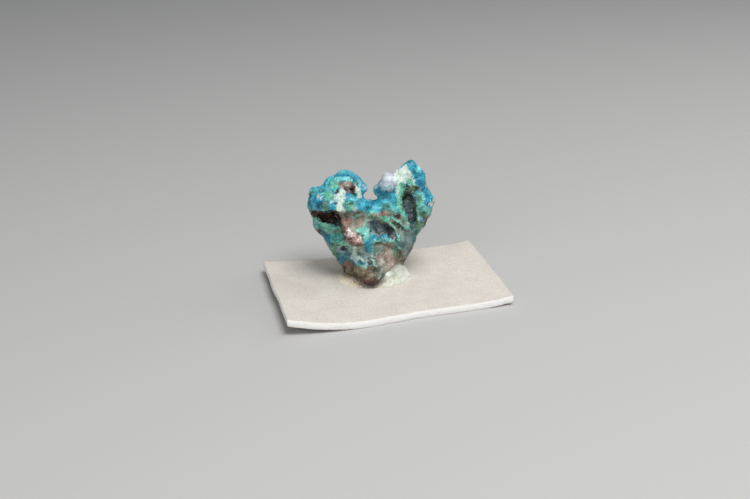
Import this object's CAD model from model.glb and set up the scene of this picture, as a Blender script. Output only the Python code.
"""Looks of a chrysocolla specimen that stands upright on a hand-cut piece of white foam sheet.

The heart-shaped stone is one piece of copper ore: a crust of blue chrysocolla over both lobes,
dark glassy hollows, a copper-brown ridge, and a glassy, rusty foot in a bead of clear glue.
Lengths are metres unless a name says otherwise.
"""

from __future__ import annotations

import logging
import math
from collections.abc import Callable, Sequence
from dataclasses import dataclass, field
from enum import Enum

import bmesh
import bpy
import numpy as np
from mathutils import Matrix, Vector, noise


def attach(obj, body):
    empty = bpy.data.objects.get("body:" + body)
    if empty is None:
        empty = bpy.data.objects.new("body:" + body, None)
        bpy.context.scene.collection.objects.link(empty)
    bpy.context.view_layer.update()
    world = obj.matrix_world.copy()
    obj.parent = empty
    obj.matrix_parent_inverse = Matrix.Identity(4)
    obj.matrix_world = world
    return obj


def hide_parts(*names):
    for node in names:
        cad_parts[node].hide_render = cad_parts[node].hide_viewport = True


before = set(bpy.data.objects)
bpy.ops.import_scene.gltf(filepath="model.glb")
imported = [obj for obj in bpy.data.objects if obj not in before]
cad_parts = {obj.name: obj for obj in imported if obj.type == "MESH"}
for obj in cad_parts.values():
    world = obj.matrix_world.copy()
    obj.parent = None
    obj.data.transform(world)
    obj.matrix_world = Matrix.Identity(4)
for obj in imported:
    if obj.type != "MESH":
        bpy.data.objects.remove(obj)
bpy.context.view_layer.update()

LOG = logging.getLogger("specimen")
MM = 0.001
FOOT = np.array((-2.642, 4.519, 1.6)) * MM
CARD_TOP = 1.6 * MM
SEED_STEP_MM = 37
CORNERS_MERGE = 1e-7

Colour = tuple[float, float, float]
Range = tuple[float, float]
Waves = tuple[Range, ...]
Spots = np.ndarray
Weights = np.ndarray


def linear(red: float, green: float, blue: float) -> Colour:
    """Turns a display colour from 0 to 255 into the linear colour that a shader takes.

    Args:
        red: Red, from 0 to 255.
        green: Green, from 0 to 255.
        blue: Blue, from 0 to 255.

    Returns:
        The linear colour, each part from 0 to 1.
    """
    parts = (value / 255 for value in (red, green, blue))
    return tuple(p / 12.92 if p <= 0.04045 else ((p + 0.055) / 1.055) ** 2.4 for p in parts)


def ramp(values: np.ndarray, low: float, high: float) -> np.ndarray:
    """A smooth rise from 0 at low to 1 at high.

    Args:
        values: The numbers to place on the rise.
        low: Where the rise starts.
        high: Where it ends.

    Returns:
        A share from 0 to 1 for each value.
    """
    share = np.clip((values - low) / (high - low), 0, 1)
    return share * share * (3 - 2 * share)


# ---------------------------------------------------------------- the display face


@dataclass(frozen=True)
class Sight:
    """The stone's display face as it is looked at: a grid, right and down, of fine steps."""

    tilt: float = 22.5
    distance_mm: float = 280.0
    axis_mm: tuple[float, float] = (0.444, 5.444)
    steps_per_mm: float = 44.1
    foot_step: tuple[float, float] = (813.4, 1215.2)

    def grid(self, points: np.ndarray) -> Spots:
        """Where points are seen on the grid.

        Args:
            points: Places in the row frame, one a row.

        Returns:
            Right and down on the grid, one pair a row.
        """
        x, y, z = ((points - FOOT) / MM).T
        tilt = math.radians(self.tilt)
        near = self.distance_mm / (self.distance_mm + y * math.cos(tilt) - z * math.sin(tilt))
        up = z * math.cos(tilt) + y * math.sin(tilt)
        right = (x - self.axis_mm[0]) * near + self.axis_mm[0]
        rise = (up - self.axis_mm[1]) * near + self.axis_mm[1]
        steps = self.steps_per_mm
        return np.stack((self.foot_step[0] + right * steps, self.foot_step[1] - rise * steps), 1)

    def facing(self, normals: np.ndarray) -> Weights:
        """How far each normal looks towards the viewer, from -1 to 1."""
        tilt = math.radians(self.tilt)
        return normals @ np.array((0, -math.cos(tilt), math.sin(tilt)))


# ---------------------------------------------------------------- minerals


@dataclass(frozen=True)
class Finish:
    """How one mineral looks: its colours, its polish and the way its skin is formed."""

    pale: Colour
    deep: Colour
    roughness: float = 0.45
    metal: float = 0.0
    facets: float = 0.1
    specks: float = 0.0
    botryoidal: float = 0.0
    craggy: float = 0.3


class Mineral(Enum):
    """The minerals and weathered skins that the stone shows."""

    AZURE = Finish(linear(74, 190, 208), linear(6, 110, 146), 0.4, botryoidal=0.8, craggy=0.3)
    DEEP_AZURE = Finish(linear(28, 142, 172), linear(2, 76, 104), 0.38, botryoidal=0.8, craggy=0.3)
    AQUA = Finish(linear(146, 230, 224), linear(84, 180, 188), 0.48, botryoidal=0.6)
    TURQUOISE = Finish(linear(140, 216, 200), linear(78, 166, 156), 0.5, botryoidal=0.5, craggy=0.4)
    GREEN = Finish(linear(128, 208, 180), linear(66, 148, 124), 0.5, botryoidal=0.3, craggy=0.5)
    LEAF = Finish(linear(104, 146, 118), linear(46, 80, 64), 0.5, specks=0.15, craggy=0.5)
    CHALK = Finish(linear(222, 234, 224), linear(164, 196, 184), 0.6, botryoidal=0.3, craggy=0.5)
    QUARTZ = Finish(linear(216, 220, 226), linear(160, 172, 186), 0.34, facets=0.2, craggy=0.12)
    SMOKY = Finish(linear(92, 102, 108), linear(24, 31, 36), 0.2, facets=0.6, specks=0.2)
    STEEL = Finish(linear(124, 148, 152), linear(66, 90, 98), 0.24, facets=0.5, specks=0.1)
    BROWN = Finish(linear(86, 64, 54), linear(28, 17, 13), 0.5, facets=0.3, craggy=0.5)
    SHADOW = Finish(linear(44, 29, 24), linear(10, 6, 5), 0.55, facets=0.2, craggy=0.4)
    RUST = Finish(linear(162, 120, 108), linear(96, 60, 52), 0.4, facets=0.4, craggy=0.6)
    COPPER = Finish(linear(214, 182, 172), linear(132, 88, 76), 0.24, 0.3, facets=0.7, craggy=0.7)
    BRIGHT = Finish(linear(252, 242, 238), linear(212, 184, 178), 0.2, 0.25, facets=0.9)
    ROSE = Finish(linear(184, 160, 148), linear(120, 98, 88), 0.3, facets=0.45, craggy=0.5)
    BEIGE = Finish(linear(164, 160, 144), linear(100, 100, 86), 0.35, facets=0.4, craggy=0.5)
    GLASSY = Finish(linear(150, 168, 160), linear(80, 110, 104), 0.22, facets=0.5, craggy=0.4)
    TEAL = Finish(linear(56, 142, 146), linear(8, 72, 84), 0.4, craggy=0.5)
    OLIVE = Finish(linear(136, 124, 98), linear(58, 52, 38), 0.3, facets=0.6, specks=0.2, craggy=0.6)
    CLARET = Finish(linear(120, 74, 64), linear(48, 27, 23), 0.32, facets=0.4, craggy=0.5)
    LILAC = Finish(linear(164, 178, 190), linear(92, 112, 130), 0.28, facets=0.5, craggy=0.4)
    ICE = Finish(linear(176, 214, 224), linear(100, 164, 182), 0.35, facets=0.3, craggy=0.4)


@dataclass(frozen=True)
class Mark:
    """A mineral's patch on the display face. Its places and sizes are in grid steps."""

    mineral: Mineral
    edge: float = field(default=18.0, kw_only=True)
    amount: float = field(default=1.0, kw_only=True)
    proud_mm: float = field(default=0.0, kw_only=True)

    def outside(self, spots: Spots) -> np.ndarray:
        """How far outside the patch each spot is, below 0 inside."""
        raise NotImplementedError

    def weights(self, spots: Spots, fray: np.ndarray) -> Weights:
        """How much of the patch lies on each spot, from 0 to 1.

        Args:
            spots: The spots, one a row.
            fray: How far the edge is pushed in at each spot, which breaks it up.

        Returns:
            A share for each spot.
        """
        reach = self.outside(spots) + fray
        return self.amount * (1 - ramp(reach, -self.edge / 2, self.edge / 2))


@dataclass(frozen=True)
class Blot(Mark):
    """An oval patch."""

    x: float
    y: float
    wide: float
    high: float
    turn: float = 0.0

    def outside(self, spots: Spots) -> np.ndarray:
        """How far outside the oval each spot is, below 0 inside."""
        turn = math.radians(self.turn)
        away = spots - np.array((self.x, self.y))
        along = away[:, 0] * math.cos(turn) + away[:, 1] * math.sin(turn)
        over = away[:, 1] * math.cos(turn) - away[:, 0] * math.sin(turn)
        reach = np.hypot(along / self.wide, over / self.high)
        return (reach - 1) * min(self.wide, self.high)


def segment_distance(spots: Spots, start: np.ndarray, end: np.ndarray) -> np.ndarray:
    """How far each spot is from a straight segment.

    Args:
        spots: The spots, one a row.
        start: The segment's start.
        end: The segment's end.

    Returns:
        One distance for each spot.
    """
    run = end - start
    share = np.clip((spots - start) @ run / max(run @ run, 1e-9), 0, 1)
    return np.linalg.norm(spots - start - share[:, None] * run, axis=1)


@dataclass(frozen=True)
class Vein(Mark):
    """A patch along a path, with a width."""

    width: float
    path: tuple[tuple[float, float], ...]

    def outside(self, spots: Spots) -> np.ndarray:
        """How far outside the vein each spot is, below 0 inside."""
        corners = np.array(self.path, float)
        runs = [segment_distance(spots, a, b) for a, b in zip(corners, corners[1:])]
        return np.min(runs, axis=0) - self.width / 2


@dataclass(frozen=True)
class Field(Mark):
    """A patch with corners."""

    corners: tuple[tuple[float, float], ...]

    def outside(self, spots: Spots) -> np.ndarray:
        """How far outside the corners' loop each spot is, below 0 inside."""
        corners = np.array(self.corners, float)
        ends = np.roll(corners, -1, axis=0)
        away = np.min([segment_distance(spots, a, b) for a, b in zip(corners, ends)], axis=0)
        inside = np.zeros(len(spots), bool)
        for (x0, y0), (x1, y1) in zip(corners, ends):
            if y0 == y1:
                continue
            crosses = (y0 > spots[:, 1]) != (y1 > spots[:, 1])
            reach = x0 + (spots[:, 1] - y0) * (x1 - x0) / (y1 - y0)
            inside ^= crosses & (spots[:, 0] < reach)
        return np.where(inside, -away, away)


M = Mineral
CRUST_EDGE = (
    (150, 575), (250, 592), (330, 600), (450, 612), (560, 604), (650, 600), (740, 602),
    (830, 626), (885, 590), (935, 530), (985, 560), (1005, 610), (1060, 600), (1100, 640),
    (1150, 700), (1200, 790), (1270, 770), (1330, 650), (1450, 620),
)

FACE_MARKS: tuple[Mark, ...] = (
    # broken ore below the crust, which the smaller patches lie on
    Field(M.BEIGE, ((480, 610), (900, 610), (960, 700), (760, 760), (560, 760))),
    Field(M.GREEN, ((240, 690), (500, 750), (560, 900), (640, 980), (400, 1000), (330, 860))),
    Field(M.GLASSY, ((400, 940), (640, 960), (860, 1000), (860, 1160), (600, 1130), (460, 1080))),
    Field(M.OLIVE, ((480, 1110), (860, 1140), (960, 1200), (900, 1290), (700, 1290), (540, 1210))),
    # left lobe: blue cap and slopes, green hollows
    Blot(M.AZURE, 530, 235, 110, 60, 8, edge=30),
    Vein(M.DEEP_AZURE, 20, ((564, 205), (578, 290))),
    Vein(M.AZURE, 56, ((600, 225), (660, 290), (728, 362))),
    Vein(M.AQUA, 24, ((365, 282), (400, 290), (450, 276), (520, 286), (600, 300))),
    Vein(M.ICE, 14, ((650, 302), (714, 338), (740, 378)), proud_mm=0.1),
    Blot(M.AZURE, 350, 340, 60, 70, edge=30),
    Blot(M.TEAL, 388, 350, 24, 34),
    Blot(M.AQUA, 350, 376, 26, 13),
    Vein(M.GREEN, 50, ((408, 318), (450, 320), (472, 345))),
    Blot(M.GREEN, 428, 362, 38, 22),
    Vein(M.TURQUOISE, 34, ((184, 428), (214, 400), (266, 392)), proud_mm=0.1),
    Blot(M.GREEN, 214, 414, 44, 22, -16, edge=24),
    Blot(M.LEAF, 192, 436, 14, 16, proud_mm=-0.2),
    Blot(M.AQUA, 520, 216, 60, 20, 6, edge=30, amount=0.5),
    Blot(M.AQUA, 390, 312, 26, 30, 30, edge=30, amount=0.5),
    Blot(M.AZURE, 288, 412, 42, 26),
    Blot(M.AZURE, 240, 515, 74, 72, edge=30),
    Blot(M.DEEP_AZURE, 280, 545, 40, 42),
    Vein(M.ICE, 14, ((178, 468), (170, 530), (180, 580))),
    Vein(M.QUARTZ, 15, ((276, 440), (290, 468), (302, 492)), edge=12, proud_mm=0.1),
    Blot(M.DEEP_AZURE, 320, 476, 17, 22, proud_mm=-0.2),
    Blot(M.GREEN, 370, 445, 50, 52),
    Blot(M.BROWN, 450, 412, 19, 28, 20, edge=12, proud_mm=-0.3),
    Blot(M.LEAF, 352, 545, 34, 50),
    Blot(M.TEAL, 388, 536, 16, 34),
    Blot(M.ICE, 426, 496, 28, 17),
    Blot(M.AZURE, 420, 553, 28, 14),
    # chalky rims, vug and the blue flap under it
    Field(M.CHALK, ((486, 352), (545, 416), (534, 540), (548, 602), (442, 612), (448, 545),
                    (422, 462), (468, 440)), edge=28, proud_mm=0.08),
    Blot(M.DEEP_AZURE, 428, 528, 26, 12, -18, edge=12, proud_mm=-0.3),
    Vein(M.LEAF, 14, ((490, 318), (540, 316), (596, 322))),
    Field(M.ROSE, ((478, 318), (604, 316), (610, 430), (572, 432), (528, 414), (490, 372)), edge=12,
          proud_mm=0.1),
    Vein(M.BROWN, 10, ((498, 334), (515, 354), (538, 384)), edge=10, amount=0.6),
    Vein(M.BRIGHT, 22, ((548, 344), (574, 372), (582, 402)), edge=16, amount=0.6),
    Blot(M.BROWN, 624, 388, 30, 60, edge=16, proud_mm=0.1),
    Vein(M.CLARET, 14, ((612, 342), (618, 390), (622, 436)), edge=14, amount=0.8),
    Field(M.CHALK, ((636, 340), (664, 345), (700, 400), (700, 445), (684, 472), (650, 476)),
          proud_mm=0.1),
    Field(M.AZURE, ((540, 434), (575, 430), (662, 482), (655, 522), (600, 504), (548, 506)),
          proud_mm=0.14),
    Vein(M.AQUA, 13, ((598, 476), (636, 486), (662, 484))),
    Blot(M.GREEN, 586, 548, 50, 46),
    Blot(M.LEAF, 605, 536, 21, 13, edge=12, proud_mm=-0.25),
    Blot(M.CHALK, 634, 584, 28, 22),
    # saddle between the lobes
    Field(M.AZURE, ((660, 490), (850, 484), (880, 430), (1000, 470), (1036, 500), (1034, 592),
                    (1000, 590), (962, 524), (905, 562), (860, 614), (680, 594)), edge=26),
    Vein(M.ICE, 16, ((722, 480), (772, 483)), edge=12),
    Blot(M.DEEP_AZURE, 832, 514, 46, 28),
    Blot(M.TEAL, 776, 562, 34, 16),
    Blot(M.AZURE, 850, 574, 48, 24, -24),
    Vein(M.TURQUOISE, 22, ((712, 622), (760, 622), (815, 612))),
    Blot(M.DEEP_AZURE, 878, 402, 22, 38, edge=14, proud_mm=-0.15),
    Blot(M.DEEP_AZURE, 945, 445, 62, 52),
    Blot(M.TEAL, 915, 470, 24, 26),
    Vein(M.AZURE, 18, ((954, 454), (964, 490), (988, 496))),
    # white knob, the blue strip and the chalky bulge beside it
    Blot(M.ICE, 858, 350, 30, 34),
    Field(M.QUARTZ, ((890, 294), (900, 232), (975, 185), (1044, 180), (1048, 262), (1044, 320),
                     (1012, 350), (985, 392), (905, 400), (880, 362), (876, 328)), edge=14,
          proud_mm=0.15),
    Blot(M.ICE, 950, 366, 40, 16),
    Vein(M.AZURE, 32, ((1000, 380), (1014, 440), (1022, 560))),
    Vein(M.CHALK, 34, ((1052, 196), (1048, 260), (1052, 330)), edge=22),
    Field(M.CHALK, ((1056, 176), (1104, 150), (1144, 128), (1180, 156), (1186, 240), (1178, 290),
                    (1140, 326), (1096, 334), (1062, 400), (1050, 446), (1032, 420), (1030, 370),
                    (1062, 290)), edge=28, proud_mm=0.1),
    Blot(M.TURQUOISE, 1062, 366, 18, 36, amount=0.6),
    # right crust
    Field(M.AZURE, ((1150, 142), (1186, 116), (1242, 166), (1294, 210), (1322, 260), (1324, 330),
                    (1374, 400), (1404, 442), (1345, 542), (1308, 545), (1290, 400), (1240, 332),
                    (1206, 280), (1184, 200)), edge=26),
    Blot(M.DEEP_AZURE, 1290, 300, 50, 110, -14, edge=34, amount=0.6),
    Blot(M.TEAL, 1228, 224, 28, 24),
    Blot(M.DEEP_AZURE, 1258, 282, 44, 50),
    Vein(M.AQUA, 12, ((1212, 300), (1216, 330), (1248, 346))),
    Blot(M.AQUA, 1256, 188, 22, 12),
    Blot(M.DEEP_AZURE, 1332, 462, 30, 56),
    Blot(M.DEEP_AZURE, 1326, 522, 18, 24),
    Vein(M.AQUA, 13, ((1298, 420), (1302, 500), (1312, 542))),
    # green margins round the long dark hollow
    Vein(M.GREEN, 54, ((1096, 348), (1082, 440), (1086, 540), (1126, 640))),
    Vein(M.TURQUOISE, 15, ((1050, 430), (1052, 500), (1058, 580))),
    Vein(M.LEAF, 18, ((1112, 370), (1108, 470), (1114, 580))),
    Blot(M.GREEN, 1178, 312, 34, 28),
    Blot(M.LEAF, 1196, 384, 72, 48),
    Blot(M.BROWN, 1240, 366, 28, 17, amount=0.85),
    Field(M.LEAF, ((1140, 640), (1256, 640), (1268, 800), (1180, 804))),
    Vein(M.TURQUOISE, 16, ((1150, 690), (1176, 776), (1214, 796))),
    Field(M.SMOKY, ((1128, 400), (1160, 396), (1216, 450), (1228, 560), (1251, 650), (1236, 762),
                    (1206, 777), (1176, 762), (1160, 640), (1130, 600), (1117, 520), (1119, 450)),
          edge=14, proud_mm=-0.4),
    Blot(M.SMOKY, 1152, 378, 32, 40, edge=14, proud_mm=-0.2),
    Blot(M.SMOKY, 1232, 440, 16, 30, edge=22, amount=0.6, proud_mm=-0.15),
    Blot(M.LEAF, 1146, 420, 26, 44, edge=30, amount=0.55),
    Blot(M.STEEL, 1160, 560, 28, 62, -8, edge=34, amount=0.45),
    Blot(M.STEEL, 1208, 690, 28, 56, edge=34, amount=0.45),
    Blot(M.LEAF, 1244, 560, 20, 90, edge=34, amount=0.6),
    Vein(M.GLASSY, 13, ((1136, 486), (1166, 490), (1192, 524)), edge=12, amount=0.85),
    Vein(M.GLASSY, 15, ((1211, 540), (1213, 595), (1200, 630)), edge=12, amount=0.8),
    Vein(M.TEAL, 18, ((1184, 720), (1190, 765)), amount=0.6),
    Blot(M.GREEN, 1264, 530, 34, 108, edge=28),
    Blot(M.LEAF, 1256, 478, 24, 40),
    Blot(M.LEAF, 1270, 590, 24, 40, amount=0.7),
    Field(M.ROSE, ((1364, 534), (1385, 490), (1403, 458), (1410, 500), (1400, 546)), edge=10,
          proud_mm=0.1),
    Vein(M.BROWN, 15, ((1346, 536), (1372, 500), (1397, 462)), edge=10),
    Vein(M.CHALK, 14, ((1396, 478), (1386, 510), (1382, 540)), edge=10, amount=0.9),
    # right shoulder
    Blot(M.TURQUOISE, 1348, 592, 48, 34),
    Blot(M.LEAF, 1305, 640, 46, 40),
    Blot(M.CLARET, 1332, 680, 34, 26),
    Blot(M.BROWN, 1340, 726, 42, 30),
    Blot(M.LEAF, 1278, 752, 34, 56),
    Vein(M.GREEN, 11, ((1256, 696), (1262, 740), (1251, 775)), amount=0.85),
    Blot(M.GLASSY, 1288, 760, 16, 26, amount=0.7),
    Blot(M.TEAL, 1228, 800, 18, 26),
    # dark recess under the left lobe
    Vein(M.LEAF, 24, ((176, 592), (205, 614), (232, 664), (256, 704))),
    Field(M.SHADOW, ((200, 594), (400, 602), (478, 614), (488, 650), (468, 738), (385, 718),
                    (250, 692), (220, 645)), edge=12, proud_mm=-0.55),
    Vein(M.BROWN, 50, ((222, 628), (290, 640), (372, 662)), edge=26, amount=0.9, proud_mm=0.3),
    Vein(M.CLARET, 30, ((232, 630), (300, 650), (380, 690)), edge=26, amount=0.45),
    Vein(M.LEAF, 11, ((300, 604), (400, 601), (442, 606)), amount=0.5),
    Vein(M.ROSE, 10, ((438, 652), (448, 690), (460, 730)), edge=10, proud_mm=0.12),
    Vein(M.TURQUOISE, 24, ((258, 694), (345, 714), (420, 731), (482, 748)), proud_mm=0.1),
    # green and teal field
    Blot(M.TURQUOISE, 385, 790, 64, 34, edge=30, amount=0.5),
    Blot(M.TEAL, 440, 850, 90, 60, 20, edge=34, amount=0.55),
    Vein(M.DEEP_AZURE, 40, ((318, 790), (355, 868), (404, 926)), edge=26, amount=0.8),
    Vein(M.TURQUOISE, 54, ((228, 690), (256, 744), (292, 796), (330, 880)), edge=26, amount=0.9),
    Vein(M.TEAL, 34, ((276, 734), (306, 776), (328, 836))),
    Blot(M.LEAF, 462, 790, 32, 22),
    Blot(M.OLIVE, 404, 800, 60, 30, 16, edge=40, amount=0.35),
    Blot(M.TEAL, 418, 752, 32, 12),
    Blot(M.TEAL, 476, 832, 20, 16),
    Blot(M.TEAL, 482, 870, 24, 15),
    Blot(M.TEAL, 424, 878, 26, 14, proud_mm=-0.12),
    Blot(M.BROWN, 285, 806, 24, 40, -24),
    Blot(M.DEEP_AZURE, 368, 870, 34, 46, -24),
    Vein(M.BEIGE, 22, ((350, 896), (366, 945), (385, 995), (422, 1046))),
    Vein(M.BROWN, 18, ((405, 938), (460, 930), (535, 924)), amount=0.8),
    # grey and rusty band
    Blot(M.LEAF, 545, 606, 40, 12),
    Blot(M.BROWN, 556, 650, 20, 12, amount=0.7),
    Field(M.RUST, ((482, 656), (606, 668), (600, 720), (560, 752), (535, 812), (505, 742))),
    Blot(M.ROSE, 525, 745, 20, 40),
    Vein(M.SHADOW, 24, ((484, 645), (496, 702), (512, 776), (530, 862)), amount=0.9),
    Blot(M.CLARET, 656, 622, 22, 12),
    Blot(M.LEAF, 692, 616, 24, 14),
    Blot(M.GREEN, 640, 656, 38, 14),
    Blot(M.ROSE, 686, 696, 26, 32),
    Blot(M.BEIGE, 622, 762, 46, 28),
    # copper ridge
    Field(M.COPPER, ((535, 780), (575, 762), (600, 802), (667, 840), (716, 900), (700, 936),
                     (640, 912), (560, 882), (528, 812)), edge=14, proud_mm=0.15),
    Vein(M.BRIGHT, 32, ((566, 780), (584, 812), (572, 838), (548, 836)), edge=12),
    Vein(M.BRIGHT, 17, ((602, 834), (640, 830), (634, 872)), edge=10),
    Vein(M.BRIGHT, 18, ((656, 882), (680, 868), (698, 900)), edge=12, amount=0.9),
    Vein(M.CLARET, 11, ((588, 850), (618, 858), (650, 882)), edge=12, amount=0.8, proud_mm=-0.12),
    Vein(M.CLARET, 12, ((540, 790), (552, 856), (588, 892)), edge=14, amount=0.7),
    Vein(M.SHADOW, 18, ((590, 900), (640, 928), (704, 938)), amount=0.7),
    # turquoise web and the blue pools in it
    Vein(M.GREEN, 18, ((722, 742), (745, 692), (751, 652))),
    Field(M.TURQUOISE, ((640, 776), (690, 760), (762, 756), (792, 830), (764, 928), (738, 920),
                        (718, 834), (640, 802)), proud_mm=0.12),
    Blot(M.AZURE, 842, 858, 62, 42),
    Blot(M.AZURE, 918, 848, 66, 18, 8),
    Blot(M.DEEP_AZURE, 820, 858, 22, 20),
    Blot(M.AQUA, 950, 873, 34, 12),
    Blot(M.AZURE, 780, 934, 40, 62),
    Blot(M.DEEP_AZURE, 752, 956, 18, 34),
    Vein(M.TURQUOISE, 24, ((811, 992), (815, 932), (840, 896), (900, 885), (1010, 890),
                           (1050, 930), (1096, 967)), proud_mm=0.12),
    Blot(M.TEAL, 1062, 904, 16, 28),
    # centre hollow and the slit between pale veins
    Blot(M.LEAF, 812, 662, 58, 22),
    Blot(M.TURQUOISE, 955, 556, 36, 40),
    Blot(M.LEAF, 966, 550, 17, 16),
    Blot(M.ROSE, 932, 616, 46, 22),
    Blot(M.GREEN, 940, 680, 56, 36, 12),
    Vein(M.TURQUOISE, 18, ((1000, 592), (1032, 600), (1062, 600))),
    Blot(M.BROWN, 1055, 645, 36, 22),
    Blot(M.LEAF, 1118, 682, 34, 24),
    Field(M.SMOKY, ((765, 702), (850, 690), (955, 735), (1031, 780), (1038, 852), (1000, 852),
                    (900, 814), (800, 792)), edge=13, proud_mm=-0.4),
    Blot(M.STEEL, 818, 730, 48, 60, -8, edge=26),
    Blot(M.STEEL, 900, 770, 60, 22, 24, edge=30, amount=0.5),
    Blot(M.CLARET, 996, 800, 34, 22, 24, edge=24, amount=0.6),
    Vein(M.TURQUOISE, 18, ((1006, 650), (1075, 701), (1110, 736), (1152, 764)), proud_mm=0.12),
    Field(M.LEAF, ((998, 682), (1070, 717), (1122, 768), (1085, 772), (1010, 722)), edge=10,
          proud_mm=-0.25),
    Vein(M.TURQUOISE, 17, ((986, 718), (1020, 756), (1050, 792), (1062, 872)), proud_mm=0.12),
    Blot(M.AQUA, 1060, 838, 14, 30),
    # grey glassy face on the lower right
    Field(M.GLASSY, ((1085, 792), (1180, 778), (1216, 802), (1236, 850), (1204, 962), (1152, 1042),
                     (1120, 1042), (1096, 940))),
    Blot(M.STEEL, 1160, 900, 46, 112, edge=44, amount=0.6),
    Blot(M.TEAL, 1196, 830, 34, 44, edge=34, amount=0.5),
    Vein(M.STEEL, 16, ((1150, 882), (1180, 922), (1202, 942))),
    Vein(M.TEAL, 22, ((1222, 862), (1206, 930), (1166, 985))),
    Blot(M.TEAL, 1110, 924, 14, 24, amount=0.8),
    # rosy boulder
    Field(M.BEIGE, ((822, 932), (960, 905), (1096, 972), (1130, 1100), (1040, 1202), (880, 1192),
                    (845, 1082))),
    Vein(M.BROWN, 13, ((835, 925), (880, 924), (970, 928)), amount=0.8),
    Blot(M.GLASSY, 868, 990, 38, 50),
    Blot(M.LEAF, 1050, 1000, 44, 50),
    Blot(M.BROWN, 1022, 1060, 13, 36, amount=0.8),
    Blot(M.BROWN, 1106, 1082, 20, 30),
    Blot(M.OLIVE, 1082, 1040, 44, 74, edge=34, amount=0.7),
    Field(M.ROSE, ((846, 1060), (900, 1004), (990, 990), (1030, 1090), (1046, 1190), (990, 1232),
                   (890, 1190)), edge=40, amount=0.85),
    Blot(M.BEIGE, 930, 1130, 26, 46, 24, edge=30, amount=0.7),
    Vein(M.CHALK, 7, ((880, 1040), (906, 1090), (912, 1140)), edge=14, amount=0.5),
    Vein(M.CHALK, 6, ((930, 1010), (968, 1062), (974, 1112)), edge=12, amount=0.5),
    Vein(M.RUST, 16, ((906, 1030), (936, 1080), (944, 1124)), edge=20, amount=0.6),
    Vein(M.RUST, 14, ((996, 1040), (1010, 1090), (1000, 1140)), edge=20, amount=0.5),
    Vein(M.CHALK, 12, ((1010, 1100), (1044, 1150), (1036, 1196)), edge=22, amount=0.6),
    Vein(M.CHALK, 10, ((940, 1150), (990, 1176), (1040, 1172)), edge=20, amount=0.55),
    Blot(M.GLASSY, 1010, 1206, 70, 44, -30, edge=44, amount=0.55),
    Vein(M.CHALK, 20, ((1076, 1168), (1016, 1214), (950, 1262), (906, 1300)), edge=36, amount=0.6),
    Blot(M.GLASSY, 890, 1204, 50, 66, 24, edge=50, amount=0.55),
    Vein(M.BEIGE, 20, ((944, 1150), (904, 1196), (880, 1256)), edge=44, amount=0.6),
    Vein(M.CHALK, 10, ((918, 1168), (890, 1214), (868, 1268)), edge=30, amount=0.6),
    Blot(M.CLARET, 940, 1058, 16, 20, amount=0.4),
    Vein(M.BEIGE, 9, ((976, 1012), (961, 1060), (955, 1086)), edge=14, amount=0.7),
    # lower left: lilac hollow, teal pool and pale streaks
    Blot(M.LEAF, 432, 990, 36, 46, 30),
    Field(M.LILAC, ((452, 962), (545, 958), (612, 1032), (540, 1037), (450, 994))),
    Blot(M.SMOKY, 522, 974, 34, 20, edge=12, proud_mm=-0.3),
    Vein(M.TEAL, 22, ((452, 1000), (482, 1016), (530, 1020), (566, 1048))),
    Blot(M.TEAL, 560, 1010, 34, 26, 30, edge=26, amount=0.7),
    Blot(M.TEAL, 520, 1072, 74, 40, 8),
    Blot(M.DEEP_AZURE, 514, 1076, 44, 24),
    Blot(M.DEEP_AZURE, 640, 1120, 46, 18, 10, edge=26, amount=0.8),
    Field(M.ICE, ((590, 1046), (650, 1048), (758, 1102), (752, 1130), (650, 1118)), edge=26),
    Field(M.CHALK, ((608, 976), (656, 990), (712, 1078), (714, 1102), (668, 1098), (614, 1040)),
          edge=26, proud_mm=0.14),
    Vein(M.CHALK, 30, ((626, 966), (668, 1040), (706, 1092)), edge=10, proud_mm=0.12),
    Blot(M.TEAL, 706, 1114, 34, 15),
    Vein(M.TURQUOISE, 13, ((670, 1132), (742, 1137))),
    Blot(M.STEEL, 700, 1024, 34, 16),
    Blot(M.SMOKY, 778, 1096, 22, 34, amount=0.75, proud_mm=-0.15),
    Vein(M.CHALK, 11, ((802, 1056), (822, 1100), (846, 1156)), edge=8, amount=0.8, proud_mm=0.12),
    # foot
    Blot(M.RUST, 568, 1132, 40, 34),
    Blot(M.BROWN, 520, 1168, 34, 34),
    Blot(M.BROWN, 735, 1250, 60, 18, amount=0.6),
    Vein(M.BRIGHT, 8, ((756, 1196), (785, 1204), (802, 1212)), edge=10, amount=0.6),
    Blot(M.BEIGE, 816, 1230, 34, 16, 20),
    Field(M.CLARET, ((700, 1287), (840, 1267), (902, 1277), (902, 1302), (800, 1354), (730, 1342))),
    Blot(M.BROWN, 786, 1324, 50, 20),
)


# ---------------------------------------------------------------- mesh help


def mesh_points(mesh: bpy.types.Mesh) -> np.ndarray:
    """The mesh's vertex places, one a row."""
    flat = np.empty(len(mesh.vertices) * 3)
    mesh.vertices.foreach_get("co", flat)
    return flat.reshape(-1, 3)


def mesh_normals(mesh: bpy.types.Mesh) -> np.ndarray:
    """The mesh's vertex normals, one a row."""
    flat = np.empty(len(mesh.vertices) * 3)
    mesh.vertex_normals.foreach_get("vector", flat)
    return flat.reshape(-1, 3)


def move_points(mesh: bpy.types.Mesh, points: np.ndarray) -> None:
    """Puts the mesh's vertices at these places.

    Args:
        mesh: The mesh to change.
        points: One place for each vertex.
    """
    mesh.vertices.foreach_set("co", points.reshape(-1))
    mesh.update()


def new_piece(name: str, mesh: bpy.types.Mesh) -> bpy.types.Object:
    """Links a new object for a mesh.

    Args:
        name: The piece's name.
        mesh: Its mesh, in the row frame.

    Returns:
        The object.
    """
    mesh.name = name
    piece = bpy.data.objects.new(name, mesh)
    bpy.context.scene.collection.objects.link(piece)
    return piece


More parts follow.
